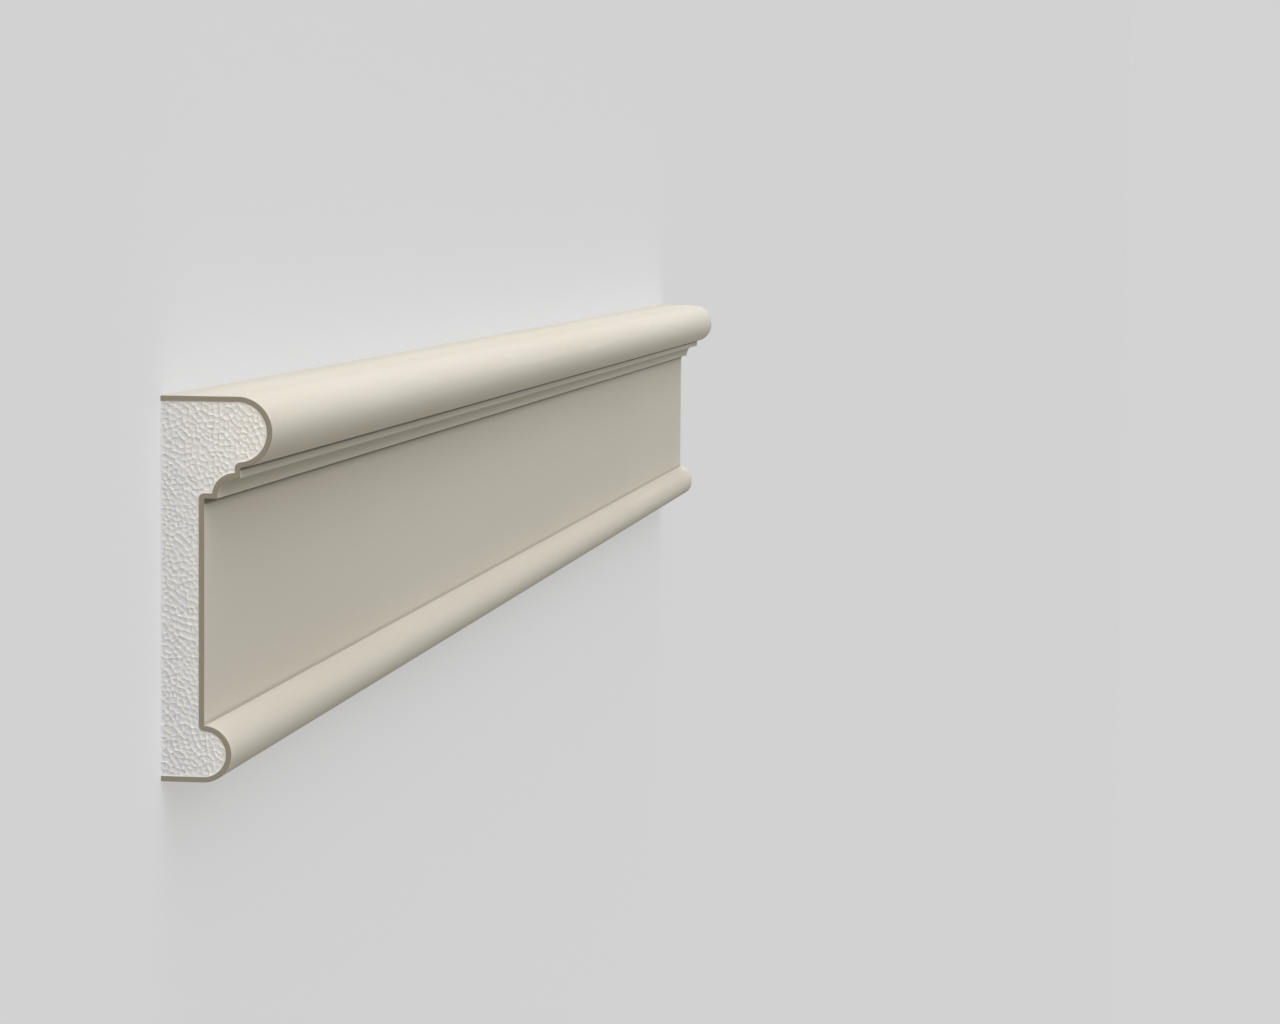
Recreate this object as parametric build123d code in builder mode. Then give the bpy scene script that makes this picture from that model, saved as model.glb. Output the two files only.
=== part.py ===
"""A length of coated foam facade moulding, as it lies on its flat back.

The moulding is a foam strip, wire-cut to its section and covered on the top, front and bottom with
a thin mineral coating, which is wiped to shape through a template. The back is bare foam, and it is
glued to the wall. One end is sawn square and the other is mitred for an inside corner.

X runs along the wall from the square end to the mitre, Y towards the crown (up, on the wall) and
Z out of the wall. The origin is on the back, in the middle of the length and of the height.
All sizes are in millimetres.
"""

import math
import os

from build123d import *

# Overall sizes
moulding_length = 2000.0  # along the back, which is the longest line
moulding_height = 200.0  # bottom edge to top edge, on the wall
coat_thickness = 2.8
corner_angle = 90.0  # between the two walls that meet at the mitred end

# Base: a half-round bead along the bottom edge
base_bead_radius = 14.8
base_bead_setback = 0.5  # from the face of the frieze back to the bead's centre

# Frieze: the flat face between the two beads
frieze_depth = 23.0  # from the back of the moulding to the face

# Cove: a quarter hollow that steps out over the frieze
soffit_width = 7.0  # flat underside between the frieze and the cove
cove_lip = 1.5  # short upright edge at the foot of the hollow
cove_radius = 9.2

# Fillet: a narrow upright band between the cove and the crown
shoulder_width = 2.8  # flat underside between the top of the cove and the fillet
fillet_height = 5.4

# Crown: a large half-round bead along the top edge
crown_bead_radius = 18.3
crown_bead_setback = 1.5  # from the face of the fillet back to the bead's centre

# The coating leaves the two outer corners of the cove and the fillet slightly blunt
arris_radius = 0.6

# Levels across the face (Y) and depths out of the wall (Z)
bottom_level = -moulding_height / 2
top_level = moulding_height / 2
base_level = bottom_level + base_bead_radius
crown_level = top_level - crown_bead_radius
shoulder_level = top_level - 2 * crown_bead_radius - fillet_height
cove_level = shoulder_level - cove_radius
soffit_level = cove_level - cove_lip

base_depth = frieze_depth - base_bead_setback
cove_depth = frieze_depth + soffit_width
shoulder_depth = cove_depth + cove_radius
fillet_depth = shoulder_depth + shoulder_width
crown_depth = fillet_depth - crown_bead_setback

# The base bead ends where it meets the frieze, and the crown bead where it meets the fillet
frieze_foot_level = base_level + math.sqrt(base_bead_radius**2 - base_bead_setback**2)
fillet_top_level = crown_level - math.sqrt(crown_bead_radius**2 - crown_bead_setback**2)

square_end = Plane.YZ.offset(-moulding_length / 2)
half_corner = math.radians(corner_angle / 2)
mitre_cut = Plane(
    origin=(moulding_length / 2, 0, 0),
    x_dir=(0, 1, 0),
    z_dir=(math.sin(half_corner), 0, math.cos(half_corner)),
)


def section(back_depth):
    """The moulding's outline as a closed face, with its flat back at the given depth."""
    with BuildSketch() as outline:
        with BuildLine():
            Line((bottom_level, back_depth), (bottom_level, base_depth))
            ThreePointArc(
                (bottom_level, base_depth),
                (base_level, base_depth + base_bead_radius),
                (frieze_foot_level, frieze_depth),
            )
            Line((frieze_foot_level, frieze_depth), (soffit_level, frieze_depth))
            FilletPolyline(
                (soffit_level, frieze_depth),
                (soffit_level, cove_depth),
                (cove_level, cove_depth),
                radius=arris_radius,
            )
            RadiusArc(
                (cove_level, cove_depth), (shoulder_level, shoulder_depth), -cove_radius
            )
            FilletPolyline(
                (shoulder_level, shoulder_depth),
                (shoulder_level, fillet_depth),
                (fillet_top_level, fillet_depth),
                radius=arris_radius,
            )
            ThreePointArc(
                (fillet_top_level, fillet_depth),
                (crown_level, crown_depth + crown_bead_radius),
                (top_level, crown_depth),
            )
            Polyline(
                (top_level, crown_depth),
                (top_level, back_depth),
                (bottom_level, back_depth),
            )
        make_face()
    return outline.sketch


def core_section():
    """The foam's outline: the moulding's own, drawn in by the coating everywhere but at the back."""
    with BuildSketch() as outline:
        add(section(-coat_thickness))
        offset(amount=-coat_thickness, kind=Kind.ARC, mode=Mode.REPLACE)
    return outline.sketch


# Foam core: wire-cut from a block, bare at the back and at both ends
with BuildPart() as foam_core:
    with BuildSketch(square_end):
        add(core_section())
    extrude(amount=moulding_length)
    split(bisect_by=mitre_cut, keep=Keep.BOTTOM)
foam_core.part.label = "foam_core"

# Coating: one even skin over the top, front and bottom of the foam
with BuildPart() as coating:
    with BuildSketch(square_end):
        add(section(0))
        add(core_section(), mode=Mode.SUBTRACT)
    extrude(amount=moulding_length)
    split(bisect_by=mitre_cut, keep=Keep.BOTTOM)
coating.part.label = "coating"

os.makedirs("parts", exist_ok=True)
for piece in (foam_core, coating):
    export_step(piece.part, f"parts/{piece.part.label}.step")
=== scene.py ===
"""The looks of a length of coated foam moulding, which lies on its flat back.

X runs along the wall from the square end to the mitred end, Y towards the crown and Z out of the wall.
All sizes are in metres.
"""

import math

import bmesh
import bpy
import numpy as np
from mathutils import Matrix, Vector
from mathutils.geometry import delaunay_2d_cdt


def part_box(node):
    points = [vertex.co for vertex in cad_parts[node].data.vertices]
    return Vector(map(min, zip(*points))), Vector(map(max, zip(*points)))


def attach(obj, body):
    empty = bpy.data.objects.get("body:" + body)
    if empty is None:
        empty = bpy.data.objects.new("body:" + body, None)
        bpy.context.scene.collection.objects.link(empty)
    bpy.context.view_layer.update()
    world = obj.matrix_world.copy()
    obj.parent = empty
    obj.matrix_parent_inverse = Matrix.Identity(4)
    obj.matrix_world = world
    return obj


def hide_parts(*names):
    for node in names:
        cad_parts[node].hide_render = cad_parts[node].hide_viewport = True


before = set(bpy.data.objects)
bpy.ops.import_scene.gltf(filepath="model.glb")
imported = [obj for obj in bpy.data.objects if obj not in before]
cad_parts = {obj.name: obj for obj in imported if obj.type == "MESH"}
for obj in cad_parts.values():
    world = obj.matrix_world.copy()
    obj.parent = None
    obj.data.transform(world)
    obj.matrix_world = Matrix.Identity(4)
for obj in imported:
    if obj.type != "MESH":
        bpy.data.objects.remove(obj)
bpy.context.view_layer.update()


# Foam core
# A strip of white bead foam, cut out of a block with a hot wire. The back and both ends stay bare: one end
# is sawn square and the other to a mitre, and both show the beads cut through, each a dish inside its rim.
core_low, core_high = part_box("foam_core")
face_low, face_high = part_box("coating")
coat_thickness = face_high.y - core_high.y

base_bead = 0.0148  # radius of the bead along the bottom edge
base_setback = 0.0005  # from the frieze's face back to the bead's centre
frieze_z = 0.023  # the flat face, out from the back
soffit_width = 0.007
cove_lip = 0.0015  # short upright edge at the foot of the hollow
cove_radius = 0.0092
fillet_height = 0.0054
shoulder_width = 0.0028
crown_bead = 0.0183  # radius of the bead along the top edge
arris = 0.0006  # radius of the two outer corners between the frieze and the crown

base_y = face_low.y + base_bead
base_z = frieze_z - base_setback
foot = math.asin(base_setback / base_bead)  # where the base bead ends on the frieze
foot_y = base_y + base_bead * math.cos(foot)
crown_y = face_high.y - crown_bead
crown_z = face_high.z - crown_bead
shoulder_y = crown_y - crown_bead - fillet_height
cove_y = shoulder_y - cove_radius
soffit_y = cove_y - cove_lip
cove_z = frieze_z + soffit_width
shoulder_z = cove_z + cove_radius
fillet_z = shoulder_z + shoulder_width
quirk = math.asin((fillet_z - crown_z) / crown_bead)  # where the crown's underside ends on the fillet
quirk_y = crown_y - crown_bead * math.cos(quirk)

full_turn = 2 * math.pi
half_turn = math.pi
quarter_turn = math.pi / 2
base_steps = 60
crown_steps = 72
cove_steps = 24
arris_steps = 8
inner_steps = 10  # round an inner corner


def arc(y, z, radius, start, end, steps):
    """Points round a centre of the section. Angles are measured from +Y towards +Z."""
    angles = np.linspace(start, end, steps + 1)
    return np.stack([y + radius * np.cos(angles), z + radius * np.sin(angles)], axis=1)


def section(inset):
    """The section's face drawn in by an inset, from the back round the bottom and the front to the back."""
    blunt = max(arris, inset)
    tip = max(arris - inset, 0)
    cove_foot = full_turn - math.acos(max(soffit_y + inset - cove_y, 0) / (cove_radius + inset))
    return np.concatenate([
        [(face_low.y + inset, 0)],
        arc(base_y, base_z, base_bead - inset, half_turn, foot, base_steps),
        arc(foot_y, frieze_z, inset, half_turn + foot, half_turn + quarter_turn, inner_steps),
        arc(soffit_y, frieze_z, inset, full_turn - quarter_turn, full_turn, inner_steps),
        arc(soffit_y + blunt, cove_z - blunt, tip, half_turn, quarter_turn, arris_steps),
        arc(cove_y, shoulder_z, cove_radius + inset, cove_foot, full_turn, cove_steps),
        arc(shoulder_y + blunt, fillet_z - blunt, tip, half_turn, quarter_turn, arris_steps),
        arc(quirk_y, fillet_z, inset, full_turn - quarter_turn, full_turn - quirk, inner_steps),
        arc(crown_y, crown_z, crown_bead - inset, half_turn - quirk, 0, crown_steps),
        [(face_high.y - inset, 0)],
    ])


bead_spacing = 0.0026  # about the least distance between the centres of two beads
bead_spread = 0.35  # share by which beads are smaller or larger than that
bead_roundness = 3.0  # low is round, and high is as angular as the rims
darts_per_bead = 16  # tries at finding room for a bead
middle_tint = 0.5  # of the rims and the edge, where a bead has 0 to 1
rim_step = 0.00045  # longest stretch between two points of a rim
edge_step = 0.0006  # longest stretch between two points of the cut's edge
rim_gap = 0.00012  # kept clear between the beads' points and the edge of the cut
dish_depth = (0.00045, 0.0008)
dish_lean = 0.05  # steepest slope of a dish's floor
rim_wear = 0.75  # share of the dishes' depth by which the lowest rims are worn down
wall_slope = 0.7  # steepest way down from the edge of the cut
void_depth = (0.0002, 0.0007)  # of the small gaps where three beads meet
void_share = 0.3  # of the places where three beads meet
same_point = 1e-7  # nearer points count as one
batches = 20  # points are worked through in so many lots
# Rings of each dish: share of the way to the rim, share of the depth, number of points
dish_rings = ((0.97, 0.08, 12), (0.88, 0.5, 12), (0.77, 0.95, 10), (0.66, 1.0, 8), (0.0, 1.0, 1))


def split_evenly(edge, step):
    """A closed edge with no stretch longer than the step, and no point twice."""
    points = []
    for start, end in zip(edge, np.roll(edge, -1, axis=0)):
        parts = math.ceil(round(math.dist(start, end) / step, 6))
        points += [start + (end - start) * part / parts for part in range(parts)]
    return np.array(points)


def clearance(points, edge):
    """How far each point lies inside a closed edge, and below zero how far outside."""
    run = np.roll(edge, -1, axis=0) - edge
    away = points[:, None] - edge
    share = np.clip((away * run).sum(2) / (run**2).sum(1), 0, 1)
    gap = np.linalg.norm(away - share[..., None] * run, axis=2).min(1)
    above = away[..., 1] < 0
    crosses = above != np.roll(above, -1, axis=1)
    rise = np.where(run[:, 1] == 0, 1, run[:, 1])
    ahead = away[..., 0] < away[..., 1] * run[:, 0] / rise
    inside = (crosses & ahead).sum(1) % 2 == 1
    return np.where(inside, gap, -gap)


def packed_beads(low, high, draw):
    """Centres of beads that fill a rectangle, as close as their size lets them lie."""
    tries = int(darts_per_bead * np.prod(high - low) / bead_spacing**2)
    darts = draw.uniform(low, high, (tries, 2))
    sizes = bead_spacing * draw.uniform(1 - bead_spread, 1 + bead_spread, len(darts))
    kept = [0]
    for index, dart in enumerate(darts):
        gaps = np.hypot(*(darts[kept] - dart).T) - (sizes[kept] + sizes[index]) / 2
        if gaps.min() > 0:
            kept.append(index)
    return darts[kept]


def pairs_of(trio):
    """The three pairs among three beads that touch, each with its lower number first."""
    a, b, c = trio
    return [tuple(sorted(pair)) for pair in ((a, b), (b, c), (c, a))]


def sawn_beads(outline, stretch, seed):
    """A cut through the foam inside a stretched outline: points (across, out, depth) and triangles.

    The points of the split outline come first, in their order. Each point also has its bead's tint, and how
    far it is sunk: 0 on the highest rims, 1 on the lowest floors and more in the gaps between beads.
    """
    draw = np.random.default_rng(seed)
    edge = split_evenly(outline, edge_step) * stretch
    low = edge.min(0) - bead_spacing
    high = edge.max(0) + bead_spacing
    beads = packed_beads(low - bead_spacing, high + bead_spacing, draw)
    beads, _, trios, *_ = delaunay_2d_cdt([Vector(bead) for bead in beads], [], [], 0, same_point)
    beads = np.array(beads)

    # A rim is the line halfway between two beads, from one meeting of three beads to the next
    meetings = []
    rim_ends = {}
    for index, trio in enumerate(trios):
        a, b, c = trio
        to_b = beads[b] - beads[a]
        to_c = beads[c] - beads[a]
        square_b = to_b @ to_b
        square_c = to_c @ to_c
        across = to_c[1] * square_b - to_b[1] * square_c
        out = to_b[0] * square_c - to_c[0] * square_b
        double_area = to_b[0] * to_c[1] - to_b[1] * to_c[0]
        meetings.append(beads[a] + np.array([across, out]) / (2 * double_area))
        for pair in pairs_of(trio):
            rim_ends.setdefault(pair, []).append(index)
    floors = draw.uniform(*dish_depth, len(beads))
    worn = {pair: draw.uniform(0, rim_wear) * floors[list(pair)].min() for pair in rim_ends}
    voids = draw.uniform(*void_depth, len(meetings))
    worn_meetings = [np.mean([worn[pair] for pair in pairs_of(trio)]) for trio in trios]
    meeting_depths = np.where(draw.random(len(meetings)) < void_share, voids, worn_meetings)

    points = []
    depths = []
    tints = []
    rims = []
    neighbours = [[] for _ in beads]
    for (a, b), ends in rim_ends.items():
        neighbours[a].append(b)
        neighbours[b].append(a)
        start, end = meetings[ends[0]], meetings[ends[-1]]
        if np.all([start > low, end > low, start < high, end < high]) and len(ends) == 2:
            parts = max(2, round(math.dist(start, end) / rim_step))
            rims += [(len(points) + part, len(points) + part + 1) for part in range(parts)]
            points += [start + (end - start) * part / parts for part in range(parts + 1)]
            depths += [meeting_depths[ends[0]], *[worn[a, b]] * (parts - 1), meeting_depths[ends[1]]]
            tints += [middle_tint] * (parts + 1)

    # A dish follows its rims, with rounder corners, and its floor leans a little
    for index, (bead, around) in enumerate(zip(beads, neighbours)):
        if np.any([bead < low, bead > high]):
            continue
        rim_depths = np.array([worn[tuple(sorted((index, other)))] for other in around])
        halfway = (beads[around] - bead) / 2
        pull = halfway / (halfway**2).sum(1)[:, None]
        lean = draw.uniform(-dish_lean, dish_lean, 2)
        tint = draw.random()
        turn = draw.uniform(0, full_turn)
        for share, sink, count in dish_rings:
            angles = turn + np.arange(count) * full_turn / count
            ways = np.stack([np.cos(angles), np.sin(angles)], axis=1)
            weights = np.clip(ways @ pull.T, 0, None) ** bead_roundness
            offsets = ways * (share * weights.sum(1) ** (-1 / bead_roundness))[:, None]
            rim = weights @ rim_depths / weights.sum(1)
            points += list(bead + offsets)
            depths += list(np.clip(rim + sink * (floors[index] + offsets @ lean - rim), 0, None))
            tints += [tint] * count

    points = np.array(points)
    whole_edge = split_evenly(outline, 1.0) * stretch
    gaps = np.concatenate([clearance(some, whole_edge) for some in np.array_split(points, batches)])
    keep = gaps > rim_gap
    place = np.cumsum(keep) - 1 + len(edge)
    rims = [(place[a], place[b]) for a, b in rims if keep[a] and keep[b]]
    flat = np.concatenate([edge, points[keep]])
    sunk = np.concatenate([np.ones(len(edge)), np.array(depths)[keep] / dish_depth[1]])
    depths = np.concatenate([np.zeros(len(edge)), np.minimum(depths, wall_slope * gaps)[keep]])
    tints = np.concatenate([np.full(len(edge), middle_tint), np.array(tints)[keep]])
    corners = [Vector(point) for point in flat]
    outer = [list(range(len(edge)))]
    _, _, triangles, sources, *_ = delaunay_2d_cdt(corners, rims, outer, 1, same_point)
    triangles = [[sources[corner][0] for corner in triangle] for triangle in triangles]
    return np.column_stack([flat, depths]), triangles, tints, sunk


class Shade:
    """A socket of a material's nodes. Sums of shades add the Math nodes that work them out."""

    def __init__(self, tree, socket=None):
        self.tree = tree
        self.socket = socket

    def node(self, kind, settings, sockets, output=0):
        """Adds a node, with its settings first and then the values or links of its sockets."""
        added = self.tree.nodes.new(kind)
        for name, value in settings.items():
            setattr(added, name, value)
        for name, value in sockets.items():
            self.feed(added.inputs[name], value)
        return Shade(self.tree, added.outputs[output])

    def feed(self, socket, value):
        if isinstance(value, Shade):
            self.tree.links.new(value.socket, socket)
        else:
            socket.default_value = value

    def sum(self, operation, first, second):
        return self.node("ShaderNodeMath", {"operation": operation}, {0: first, 1: second})

    def __add__(self, other):
        return self.sum("ADD", self, other)

    def __radd__(self, other):
        return self.sum("ADD", other, self)

    def __sub__(self, other):
        return self.sum("SUBTRACT", self, other)

    def __rsub__(self, other):
        return self.sum("SUBTRACT", other, self)

    def __mul__(self, other):
        return self.sum("MULTIPLY", self, other)

    def __rmul__(self, other):
        return self.sum("MULTIPLY", other, self)

    def place(self):
        """Where the surface is, in the frame's own metres."""
        return self.node("ShaderNodeTexCoord", {}, {}, "Object")

    def stretched(self, place, along):
        return self.node("ShaderNodeVectorMath", {"operation": "MULTIPLY"}, {0: place, 1: along})

    def noise(self, place, scale, detail=2.0):
        return self.node("ShaderNodeTexNoise", {}, {"Vector": place, "Scale": scale, "Detail": detail})

    def step(self, value, low, high):
        """0 below low, 1 above high, and smooth between them."""
        ends = {"Value": value, "From Min": low, "From Max": high}
        return self.node("ShaderNodeMapRange", {"interpolation_type": "SMOOTHSTEP"}, ends)

    def mix(self, share, first, second):
        """One colour at a share of 0, the other at 1."""
        return self.node("ShaderNodeMix", {"data_type": "RGBA"}, {0: share, 6: first, 7: second}, 2)

    def bump(self, height, distance):
        return self.node("ShaderNodeBump", {}, {"Height": height, "Distance": distance})


def colour(red, green, blue):
    """A colour from its screen values, 0 to 255."""
    shares = [level / 255 for level in (red, green, blue)]
    return (*[s / 12.92 if s <= 0.04045 else ((s + 0.055) / 1.055) ** 2.4 for s in shares], 1.0)


def new_finish(name, roughness, specular):
    """A material, its shader, and a shade to start its nodes from."""
    material = bpy.data.materials.new(name)
    material.use_nodes = True
    shader = material.node_tree.nodes["Principled BSDF"]
    shader.inputs["Roughness"].default_value = roughness
    shader.inputs["Specular IOR Level"].default_value = specular
    return material, shader.inputs, Shade(material.node_tree)


def new_piece(name, points, faces, finishes, picks):
    """A smooth piece in the frame, with the finish that each face picks."""
    mesh = bpy.data.meshes.new(name)
    mesh.from_pydata(points, [], faces)
    for finish in finishes:
        mesh.materials.append(finish)
    mesh.polygons.foreach_set("material_index", picks)
    mesh.shade_smooth()
    piece = bpy.data.objects.new(name, mesh)
    bpy.context.scene.collection.objects.link(piece)
    return piece


foam_dull = colour(213, 214, 217)
foam_bright = colour(234, 234, 235)
# Painted light: the cut foam is lighter and warmer out towards the face and the crown, where the light
# falls more
foam_lit_white = colour(248, 245, 238)  # painted light, lighter and warmer towards the face
# Painted highlight: the rims between the beads are lighter all round
foam_rim_highlight = colour(243, 239, 230)
# Painted shade: the sunk gaps where three beads meet are darker
foam_gap_shade = colour(176, 175, 172)
foam_pore = 0.0004
tint_share = 0.25  # of a bead's own tint in its white, and the pores give the rest
lit_way = (0, 0.08, 1)  # out to the face, and a little towards the crown
lit_reach = (-0.01, 0.055)  # that way, from none of the painted light's warm white to all of it
rim_highlight_reach = (0.05, 0.5)  # how far sunk, from the rims' painted highlight to the dishes' white
gap_shade_reach = (1.1, 1.8)  # how far sunk, from the dishes' white to the gaps' painted shade

sawn_foam, sockets, shade = new_finish("sawn_foam", roughness=0.9, specular=0.2)
bead_tint = shade.node("ShaderNodeAttribute", {"attribute_name": "bead_tint"}, {}, "Fac")
bead_sunk = shade.node("ShaderNodeAttribute", {"attribute_name": "bead_sunk"}, {}, "Fac")
pores = shade.noise(shade.place(), 1 / foam_pore)
bead_white = shade.mix(bead_tint * tint_share + pores * (1 - tint_share), foam_dull, foam_bright)
towards = {0: shade.place(), 1: lit_way}
out = shade.node("ShaderNodeVectorMath", {"operation": "DOT_PRODUCT"}, towards, "Value")
# Painted light: lighter and warmer towards the face and the crown
bead_white = shade.mix(shade.step(out, *lit_reach), bead_white, foam_lit_white)
# Painted highlight on the rims
bead_white = shade.mix(shade.step(bead_sunk, *rim_highlight_reach), foam_rim_highlight, bead_white)
# Painted shade in the gaps between beads
bead_white = shade.mix(shade.step(bead_sunk, *gap_shade_reach), bead_white, foam_gap_shade)
shade.feed(sockets["Base Color"], bead_white)
shade.feed(sockets["Normal"], shade.bump(pores, foam_pore / 2))

wire_cut_bead = 0.0033
wire_cut_rim = 0.16  # half the width of a rim, as a share of a bead
rim_height = 2.0  # of a rim over its bead, as a multiple of a pore's depth

wire_cut_foam, sockets, shade = new_finish("wire_cut_foam", roughness=0.9, specular=0.2)
cell = {"Vector": shade.place(), "Scale": 1 / wire_cut_bead}
rim_distance = shade.node("ShaderNodeTexVoronoi", {"feature": "DISTANCE_TO_EDGE"}, cell)
inside_rim = shade.step(rim_distance, 0.0, wire_cut_rim)
cell_tint = shade.node("ShaderNodeTexVoronoi", {"feature": "F1"}, cell, "Color")
pores = shade.noise(shade.place(), 1 / foam_pore)
shade.feed(sockets["Base Color"], shade.mix(cell_tint, foam_dull, foam_bright))
shade.feed(sockets["Normal"], shade.bump(pores - inside_rim * rim_height, foam_pore))

mitre = math.radians(45)
foam_crease = math.radians(70)  # edges that turn by more are shaded sharp
shortest_edge = 1e-6
core_line = section(coat_thickness)
square_points, square_faces, square_tints, square_sunk = sawn_beads(core_line, (1, 1), seed=21)
mitre_stretch = (1, 1 / math.cos(mitre))
mitre_points, mitre_faces, mitre_tints, mitre_sunk = sawn_beads(core_line, mitre_stretch, seed=22)
# Each row is the way that across, out and depth point
square_ways = [(0, 1, 0), (0, 0, 1), (1, 0, 0)]
mitre_ways = [(0, 1, 0), (-math.sin(mitre), 0, math.cos(mitre)), (-math.cos(mitre), 0, -math.sin(mitre))]
points = np.concatenate([
    (core_low.x, 0, 0) + square_points @ np.array(square_ways),
    (core_high.x, 0, 0) + mitre_points @ np.array(mitre_ways),
])
first = len(square_points)
faces = [triangle[::-1] for triangle in square_faces]
faces += [[corner + first for corner in triangle] for triangle in mitre_faces]
picks = [0] * len(faces)
round_edge = len(split_evenly(core_line, edge_step))
for here in range(round_edge):
    there = (here + 1) % round_edge
    faces.append([there, here, first + here, first + there])
    picks.append(1)

bead_foam = new_piece("bead_foam", points, faces, [sawn_foam, wire_cut_foam], picks)
tint_values = bead_foam.data.attributes.new("bead_tint", "FLOAT", "POINT")
tint_values.data.foreach_set("value", np.concatenate([square_tints, mitre_tints]))
sunk_values = bead_foam.data.attributes.new("bead_sunk", "FLOAT", "POINT")
sunk_values.data.foreach_set("value", np.concatenate([square_sunk, mitre_sunk]))
shape = bmesh.new()
shape.from_mesh(bead_foam.data)
bmesh.ops.delete(shape, geom=[point for point in shape.verts if not point.link_faces], context="VERTS")
bmesh.ops.dissolve_degenerate(shape, edges=shape.edges, dist=shortest_edge)
shape.to_mesh(bead_foam.data)
shape.free()
bead_foam.data.set_sharp_from_angle(angle=foam_crease)
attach(bead_foam, "root")
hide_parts("foam_core")


# Coating
# A skin of fine mineral mortar, drawn over the foam through a template and painted cream. It covers the
# top, the front and the bottom. The saw goes through it at both ends and shows the bare mortar, grey-brown.
cream = colour(232, 227, 215)
cream_dull = colour(229, 224, 211)
# Painted shade: dark grey in the inner corners, the cove's hollow, the frieze's foot and along the back of
# the crown's top
corner_shade_grey = colour(96, 94, 90)
mortar = colour(146, 138, 121)
mortar_sand = colour(164, 156, 139)
grain = 0.0004
relief = 0.00005  # of the grains and the drag lines
grain_share = 0.6
drag_share = 0.7
drag_scale = (6.0, 900.0, 900.0)  # lines that the template drags, to the metre along and across
patch_scale = (3.0, 12.0, 12.0)  # patches of duller paint, to the metre along and across
patch_share = 0.6  # of the patches in the dull paint, and the drag lines give the rest
dull_reach = (0.3, 0.7)  # of that pattern, from the cream to the dull cream
painted_shade_cover = 0.85  # where the painted shade is darkest
painted_shade_flatness = 3.0  # the painted shade reaches this much less far on an underside than on an upright face

cream_paint, sockets, shade = new_finish("cream_paint", roughness=0.75, specular=0.25)
place = shade.place()
grains = shade.noise(place, 1 / grain)
drag = shade.noise(shade.stretched(place, drag_scale), 1.0)
patches = shade.noise(shade.stretched(place, patch_scale), 1.0)
dull = shade.step(patches * patch_share + drag * (1 - patch_share), *dull_reach)
cream_cast = shade.mix(dull, cream, cream_dull)
hollow = cove_radius * math.sin(quarter_turn / 2)  # to the middle of the cove, up and in
# Each place of painted shade: where across the section, full shade up to, no shade from, share
painted_shade_spots = (
    (quirk_y, fillet_z, 0.0011, 0.0020, 1.0),
    (quirk_y, fillet_z, 0.0, 0.006, 0.3),
    (cove_y + hollow, shoulder_z - hollow, 0.002, 0.012, 0.3),
    (soffit_y, frieze_z, 0.0021, 0.0042, 1.0),
    (soffit_y, frieze_z, 0.0, 0.009, 0.3),
    (foot_y, frieze_z, 0.0, 0.0036, 0.35),
    (face_high.y, 0, 0.0, 0.075, 0.2),
)
painted_shade_place = shade.stretched(place, (0, 1, painted_shade_flatness))
painted_shade = 0.0
for y, z, near, far, share in painted_shade_spots:
    ends = {0: painted_shade_place, 1: (0, y, painted_shade_flatness * z)}
    gap = shade.node("ShaderNodeVectorMath", {"operation": "DISTANCE"}, ends, "Value")
    painted_shade = shade.sum("MAXIMUM", painted_shade, share * (1 - shade.step(gap, near, far)))
# The painted shade darkens the cream paint there
shade.feed(sockets["Base Color"], shade.mix(painted_shade * painted_shade_cover, cream_cast, corner_shade_grey))
shade.feed(sockets["Normal"], shade.bump(grains * grain_share + drag * drag_share, relief))

sand_reach = (0.35, 0.75)  # of the noise, from the mortar to its grains of sand
bare_mortar, sockets, shade = new_finish("bare_mortar", roughness=0.9, specular=0.2)
sand = shade.noise(shade.place(), 1 / grain)
shade.feed(sockets["Base Color"], shade.mix(shade.step(sand, *sand_reach), mortar, mortar_sand))
shade.feed(sockets["Normal"], shade.bump(sand, grain / 4))

sawn_edge = 0.0002  # the saw leaves the coating's outer edge slightly blunt
stations = 24  # stretches of the painted skin, from end to end
skin_start = 2  # rows before the painted skin: the cut end and its blunt edge
skin_end = skin_start + stations
coat_crease = math.radians(14)  # edges that turn by more are shaded sharp


def skin_row(inset, square_share, back_off=0.0):
    """The section at an inset: at the square end for a share of 1, at the mitre for 0, and in between."""
    row = section(inset)
    x_mitre = face_high.x - row[:, 1] * math.tan(mitre) - back_off
    x = square_share * (face_low.x + back_off) + (1 - square_share) * x_mitre
    return np.column_stack([x, row])


rows = [skin_row(coat_thickness, 1), skin_row(sawn_edge, 1)]
rows += [skin_row(0, 1 - share / stations, sawn_edge) for share in range(stations + 1)]
rows += [skin_row(sawn_edge, 0), skin_row(coat_thickness, 0)]
width = len(rows[0])
faces = []
picks = []
for row in range(len(rows)):
    here = row * width
    there = (row + 1) % len(rows) * width
    faces += [[here + step, here + step + 1, there + step + 1, there + step] for step in range(width - 1)]
    picks += [int(row < skin_start or row >= skin_end)] * (width - 1)
faces += [[row * width + end for row in range(len(rows))] for end in (0, width - 1)]
picks += [1, 1]

mineral_coat = new_piece("mineral_coat", np.concatenate(rows), faces, [cream_paint, bare_mortar], picks)
shape = bmesh.new()
shape.from_mesh(mineral_coat.data)
bmesh.ops.remove_doubles(shape, verts=shape.verts, dist=shortest_edge)
bmesh.ops.dissolve_degenerate(shape, edges=shape.edges, dist=shortest_edge)
bmesh.ops.recalc_face_normals(shape, faces=shape.faces)
shape.to_mesh(mineral_coat.data)
shape.free()
mineral_coat.data.set_sharp_from_angle(angle=coat_crease)
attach(mineral_coat, "root")
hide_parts("coating")


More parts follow.
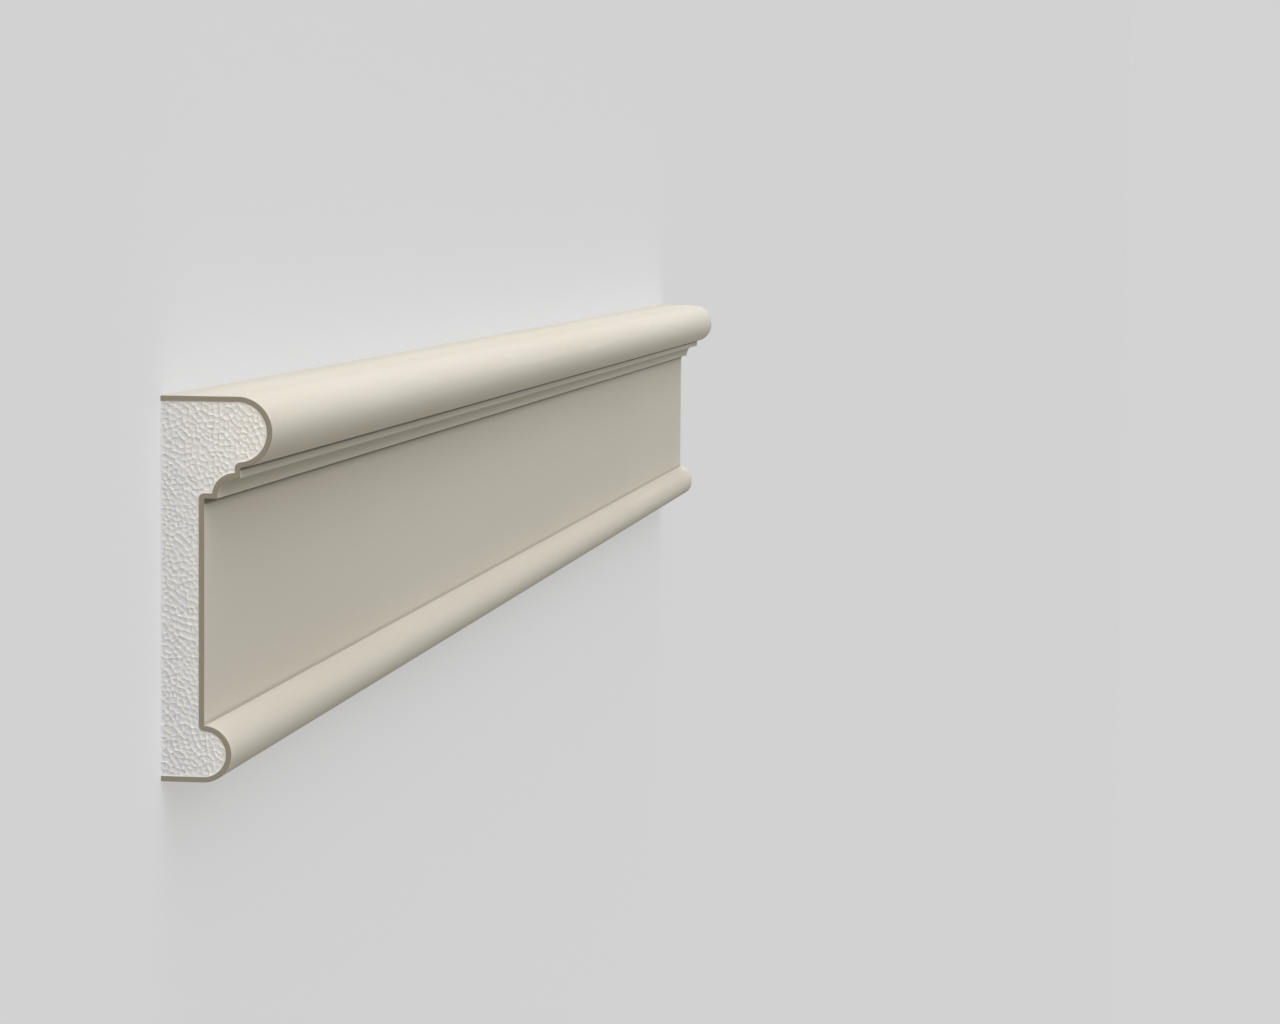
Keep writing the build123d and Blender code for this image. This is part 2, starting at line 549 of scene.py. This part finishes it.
# Floor, light and camera
# A plain pale floor runs out to the horizon. A wide soft lamp stands over the crown's side, a narrower one
# lights the crown's top and one shines straight at each end, with even light from all round. The camera
# looks along the moulding from its square end, with the crown upwards.
floor_grey = (0.51, 0.50, 0.46, 1)
floor_pale = (0.411, 0.42, 0.442, 1)
floor_glow = (0.41, 0.41, 0.41, 1)
room_light = (0.275, 0.262, 0.229, 1)
room_pale = (0.65, 0.65, 0.65, 1)
black = (0, 0, 0, 1)


def seen(shade):
    """1 for what the camera sees, straight or in a reflection, and 0 for what only sheds light."""
    kinds = ("Is Camera Ray", "Is Glossy Ray", "Is Transmission Ray")
    straight, mirrored, through = [shade.node("ShaderNodeLightPath", {}, {}, kind) for kind in kinds]
    return shade.sum("MAXIMUM", straight, shade.sum("MAXIMUM", mirrored, through))


floor_paint, sockets, shade = new_finish("pale_floor", roughness=1.0, specular=0.0)
shade.feed(sockets["Base Color"], shade.mix(seen(shade), floor_grey, floor_pale))
shade.feed(sockets["Emission Color"], shade.mix(seen(shade), black, floor_glow))
sockets["Emission Strength"].default_value = 1.0
horizon = 300.0
corners = [(-horizon, -horizon, 0), (horizon, -horizon, 0), (horizon, horizon, 0), (-horizon, horizon, 0)]
new_piece("floor", corners, [(0, 1, 2, 3)], [floor_paint], [0])

world = bpy.data.worlds.new("studio")
world.use_nodes = True
shade = Shade(world.node_tree)
background = world.node_tree.nodes["Background"].inputs
shade.feed(background["Color"], shade.mix(seen(shade), room_light, room_pale))
bpy.context.scene.world = world

lamp_white = (1.0, 1.0, 1.04)
# Each lamp: the way to it, its strength, how wide it looks
lamps = {
    "wide_lamp": ((-0.507, 0.811, 0.291), 2.6, math.radians(80)),
    "crown_lamp": ((0.0, 1.0, 0.075), 0.72, math.radians(12)),
    "end_lamp": ((-1.0, 0.0, 0.003), 0.65, math.radians(1)),
    "mitre_lamp": ((1.0, 0.0, 0.003), 1.3, math.radians(1)),
}
for name, (way, strength, spread) in lamps.items():
    lamp = bpy.data.objects.new(name, bpy.data.lights.new(name, "SUN"))
    lamp.data.energy = strength
    lamp.data.color = lamp_white
    lamp.data.angle = spread
    lamp.rotation_euler = Vector(way).to_track_quat("Z", "Y").to_euler()
    bpy.context.scene.collection.objects.link(lamp)

camera = bpy.data.objects.new("camera", bpy.data.cameras.new("camera"))
camera.data.lens = 100.81
camera_place = Vector((-2.7885, 0.1949, 0.4920))
camera_target = Vector((0.0, -0.0386, 0.1132))
camera_up = Vector((0.0, 1.0, -0.0099))
back = (camera_place - camera_target).normalized()
right = camera_up.cross(back).normalized()
turned = Matrix((right, back.cross(right), back)).transposed()
camera.matrix_world = Matrix.Translation(camera_place) @ turned.to_4x4()
bpy.context.scene.collection.objects.link(camera)
bpy.context.scene.camera = camera

bpy.context.scene.view_settings.view_transform = "Standard"
